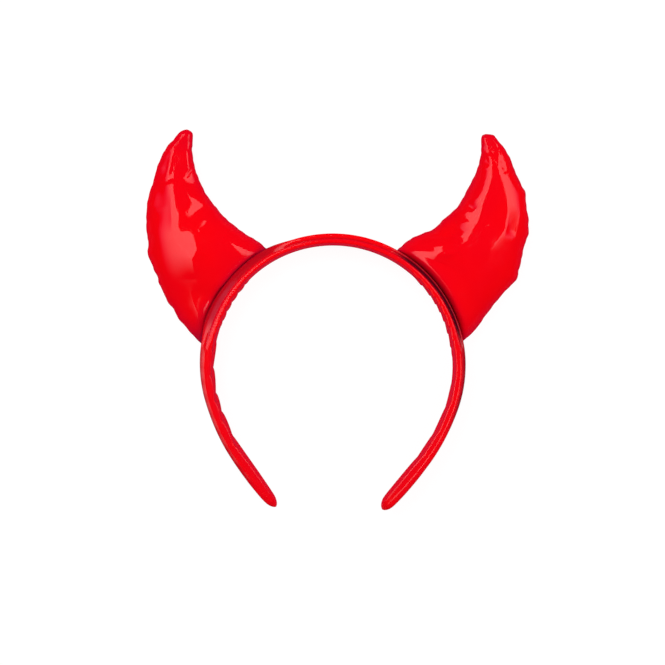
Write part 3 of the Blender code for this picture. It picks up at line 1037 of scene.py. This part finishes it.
def crease_depth(table, crease):
    """Depth of a crease at each point: deepest on its line, with a steeper side for its lean."""
    line = [np.array(at_pixel(*pixel)) for pixel in crease.pixels]
    total = sum(np.linalg.norm(b - a) for a, b in zip(line, line[1:]))
    nearest = np.full(len(table), np.inf)
    side, share, walked = np.zeros(len(table)), np.zeros(len(table)), 0.0
    for a, b in zip(line, line[1:]):
        run = b - a
        length = np.linalg.norm(run)
        t = np.clip((table[:, :2] - a) @ run / length ** 2, 0.0, 1.0)
        offset = table[:, :2] - a - t[:, None] * run
        away = np.linalg.norm(offset, axis=1)
        closer = away < nearest
        nearest = np.where(closer, away, nearest)
        turn = np.sign(run[0] * offset[:, 1] - run[1] * offset[:, 0])
        side = np.where(closer, turn, side)
        share = np.where(closer, (walked + t * length) / total, share)
        walked += length
    breadth = crease.breadth * MM * (1.0 + LEAN_SHARE * crease.lean * side)
    taper = np.sin(math.pi * np.clip(share, LINE_END, 1 - LINE_END)) ** 0.6
    return crease.depth * MM * taper * bell(nearest, breadth)


# %% [markdown]
# ## Stuffing
# Air pressure inside a cloth skin swells it like stuffing. The seam and the base are held, and
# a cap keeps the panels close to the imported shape. Then the surface is evened out a little,
# because loose fibre fills a horn more smoothly than air fills coarse faces.

# %% Stuffing
PRESSURE = 4.0
SHRINK = -0.02
CLOTH_QUALITY = 6
SETTLE_FRAMES = 20
MOST_SWELL = 2.2 * MM
EASE_ROUNDS = 20
HELD_RISE, HELD_SEAT = 0.6 * MM, 1.2 * MM


def mark_points(horn, name, chosen):
    group = horn.vertex_groups.new(name=name)
    group.add([int(i) for i in np.flatnonzero(chosen)], 1.0, "REPLACE")


def settle(horn):
    """Cloth with air pressure: the seam and the base are held, and the panels swell a little."""
    before = points(horn)
    held = (np.abs(before[:, 2] - MIDDLE_Z) < HELD_RISE) | (horn_seat(before) < HELD_SEAT)
    mark_points(horn, "held", held)
    cloth = horn.modifiers.new("Cloth", "CLOTH")
    cloth.settings.vertex_group_mass = "held"
    cloth.settings.use_pressure = True
    cloth.settings.uniform_pressure_force = PRESSURE
    cloth.settings.effector_weights.gravity = 0.0
    cloth.settings.shrink_min = SHRINK
    cloth.settings.quality = CLOTH_QUALITY
    for frame_number in range(1, SETTLE_FRAMES + 1):
        bpy.context.scene.frame_set(frame_number)
    activate(horn)
    bpy.ops.object.modifier_apply(modifier=cloth.name)
    bpy.context.scene.frame_set(1)
    moved = points(horn) - before
    length = np.linalg.norm(moved, axis=1, keepdims=True)
    capped = moved * MOST_SWELL * np.tanh(length / MOST_SWELL) / np.maximum(length, 1e-9)
    move_points(horn, before + capped)
    print(horn.name, "swelled before the cap by up to mm:", round(float(length.max()) / MM, 2))


def ease(horn):
    """Evens out the stuffing, with the seam and the base held."""
    table = points(horn)
    free = (np.abs(table[:, 2] - MIDDLE_Z) > HELD_RISE) & (horn_seat(table) > HELD_SEAT)
    mark_points(horn, "free", free)
    apply_modifier(horn, "SMOOTH", factor=0.5, iterations=EASE_ROUNDS, vertex_group="free")


# %% [markdown]
# ## Base and creases
# A horn is sewn on along its whole base, so it stands full right up to the band and then turns
# down steeply. After that the creases are pressed in, on the front only, and never through the
# table.

# %% Base and creases
BASE_REACH = 13.0 * MM
BASE_FLOOR = 0.66
BASE_FALL, BASE_FALL_START = 2.8 * MM, 0.4 * MM
FULL_RISE = 6.0 * MM


def shape_base(horn, base_lift):
    """A full base that turns down steeply into the valley beside the band."""
    table = points(horn)
    outside = horn_seat(table)
    rise = table[:, 2] - MIDDLE_Z
    full = smoothstep(np.abs(rise) / FULL_RISE)
    fuller = base_lift * MM * full * (1 - smoothstep(outside / BASE_REACH))
    rise = rise + np.sign(rise) * fuller
    risen = smoothstep((outside - BASE_FALL_START) / BASE_FALL) ** 0.6
    table[:, 2] = MIDDLE_Z + rise * (BASE_FLOOR + (1 - BASE_FLOOR) * risen)
    move_points(horn, table)
    return full


def press_creases(horn, creases, full):
    table = points(horn)
    front = table[:, 2] > MIDDLE_Z
    for crease in creases:
        table[:, 2] -= np.where(front, crease_depth(table, crease), 0.0) * full
    table[:, 2] = np.clip(table[:, 2], 0.0, None)
    move_points(horn, table)


# %% [markdown]
# ## Outline and seam
# Hand-sewn stuffed shapes have no clean outline. Wide bends come from the table of nudges, and
# small puckers from the thread, which draws the vinyl in at each stitch.

# %% Outline and seam
PUCKER_PITCH, PUCKER_STRAY = 5.7 * MM, 11 * MM
PUCKER_DEPTH, PUCKER_RISE = 0.10 * MM, 4.0 * MM
PINCH_DEPTH, PINCH_RISE = 0.25 * MM, 0.6 * MM
FREE_SEAT = 4 * MM


def nudge_outline(horn, nudges):
    table = points(horn)
    for nudge in nudges:
        away = np.linalg.norm(table[:, :2] - np.array(at_pixel(*nudge.pixel, 0.0)), axis=1)
        weight = bell(away, nudge.reach * MM)
        table[:, 0] += nudge.right * MM * weight
        table[:, 1] += nudge.up * MM * weight
    move_points(horn, table)


def pucker_seam(horn, tip):
    """Small puckers from stitch to stitch, and the pinch of the seam itself."""
    table = points(horn)
    normals = np.empty(table.size)
    horn.data.vertices.foreach_get("normal", normals)
    normals = normals.reshape(-1, 3)
    rise = np.abs(table[:, 2] - MIDDLE_Z)
    from_tip = np.linalg.norm(table[:, :2] - np.array(at_pixel(*tip)), axis=1)
    phase = 2 * math.pi * from_tip / PUCKER_PITCH + 1.7 * np.sin(from_tip / PUCKER_STRAY)
    wave = np.sin(phase) + 0.7 * np.sin(0.43 * phase + 1.0) + 0.4 * np.sin(1.7 * phase)
    push = PUCKER_DEPTH * wave * bell(rise, PUCKER_RISE) - PINCH_DEPTH * bell(rise, PINCH_RISE)
    push = push * smoothstep(horn_seat(table) / FREE_SEAT)
    move_points(horn, table + normals * push[:, None])


# %% [markdown]
# ## Darkness in the seams
# Light that falls into the gap between horn and band is lost there, and so is some along the
# seam of the two panels. The attribute crease carries this to the material.

# %% Darkness in the seams
GAP_DARKNESS = 0.70
SHADOW_DARKNESS, SHADOW_REACH = 0.32, 4.5 * MM
SHADOW_TOP_ROW, SHADOW_SOFT = 285, 12 * MM
RIM_DARKNESS, RIM_RISE = 0.45, 3.0 * MM
HornShape = namedtuple(
    "HornShape", "name tip creases nudges base_lift gap_start gap_reach shadow"
)


def horn_darkness(horn, shape):
    table = points(horn)
    outside = np.clip(horn_seat(table) - shape.gap_start * MM, 0.0, None)
    low = smoothstep((at_pixel(0, SHADOW_TOP_ROW)[1] - table[:, 1]) / SHADOW_SOFT)
    shadow = shape.shadow * SHADOW_DARKNESS * bell(outside, SHADOW_REACH) * low
    gap = GAP_DARKNESS * np.exp(-outside / (shape.gap_reach * MM))
    rim = RIM_DARKNESS * bell(table[:, 2] - MIDDLE_Z, RIM_RISE)
    return np.maximum(gap, shadow) + rim


# %% [markdown]
# ## Both horns
# The same steps make both horns. They differ in their creases and bends, in how full the base
# is, and in how the gap beside the band is shaded.

# %% Both horns
def finish_horn(shape):
    horn = horn_skin(shape.name)
    refine(horn, 1)
    settle(horn)
    ease(horn)
    refine(horn, 2)
    full = shape_base(horn, shape.base_lift)
    press_creases(horn, shape.creases, full)
    nudge_outline(horn, shape.nudges)
    pucker_seam(horn, shape.tip)
    set_painted_shade(horn, horn_darkness(horn, shape))
    horn.data.shade_smooth()
    horn.data.materials.append(horn_vinyl)
    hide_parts(shape.name + "_front", shape.name + "_back")
    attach(horn, "root")
    report(horn)


finish_horn(HornShape(
    "left_horn", (186, 132), LEFT_CREASES, LEFT_NUDGES,
    base_lift=0.6, gap_start=1.8, gap_reach=1.3, shadow=1.0,
))
finish_horn(HornShape(
    "right_horn", (487, 136), RIGHT_CREASES, RIGHT_NUDGES,
    base_lift=3.0, gap_start=0.2, gap_reach=1.6, shadow=0.0,
))
